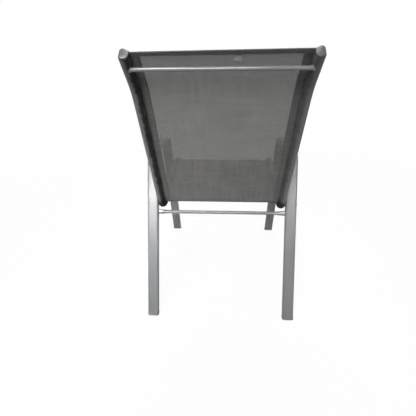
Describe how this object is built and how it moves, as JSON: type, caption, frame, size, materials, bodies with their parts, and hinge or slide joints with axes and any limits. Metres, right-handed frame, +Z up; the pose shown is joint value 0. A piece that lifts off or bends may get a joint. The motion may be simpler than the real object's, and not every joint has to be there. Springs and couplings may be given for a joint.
{
  "type": "garden armchair",
  "caption": "Fixed-back garden armchair with a stretched mesh sling between two bent rails, carried by A-shaped flat-oval tube side frames.",
  "frame": {"origin": "on the floor, in the middle of the chair's overall width and depth", "axes": "+Z up; the sitter faces -Y; +X is the sitter's left, so the chair is symmetrical about the plane X = 0"},
  "size_m": [0.5696, 0.77, 0.9352],
  "materials": {
    "powder_paint": "silver-grey powder paint, satin",
    "grey_plastic": "moulded grey plastic, satin",
    "rod_plastic": "extruded dark plastic rod",
    "mesh_fabric": "dark grey woven mesh of coated yarn",
    "tag_fabric": "plain grey woven tape",
    "steel": "zinc-plated"
  },
  "bodies": {
    "root": {"side_frame_left": "powder_paint", "side_frame_right": "powder_paint", "sling_rail_left": "powder_paint", "sling_rail_right": "powder_paint", "top_cross_bar": "powder_paint", "front_cross_bar": "powder_paint", "rear_cross_bar": "powder_paint", "foot_cap_rear_left": "grey_plastic", "foot_cap_rear_right": "grey_plastic", "foot_cap_front_left": "grey_plastic", "foot_cap_front_right": "grey_plastic", "rail_top_cap_left": "grey_plastic", "rail_top_cap_right": "grey_plastic", "rail_front_cap_left": "grey_plastic", "rail_front_cap_right": "grey_plastic", "bolt_spacers": "grey_plastic", "keder_rod_left": "rod_plastic", "keder_rod_right": "rod_plastic", "sling": "mesh_fabric", "sewn_tag": "tag_fabric", "frame_bolts": "steel", "threaded_inserts": "steel"}
  },
  "joints": []
}
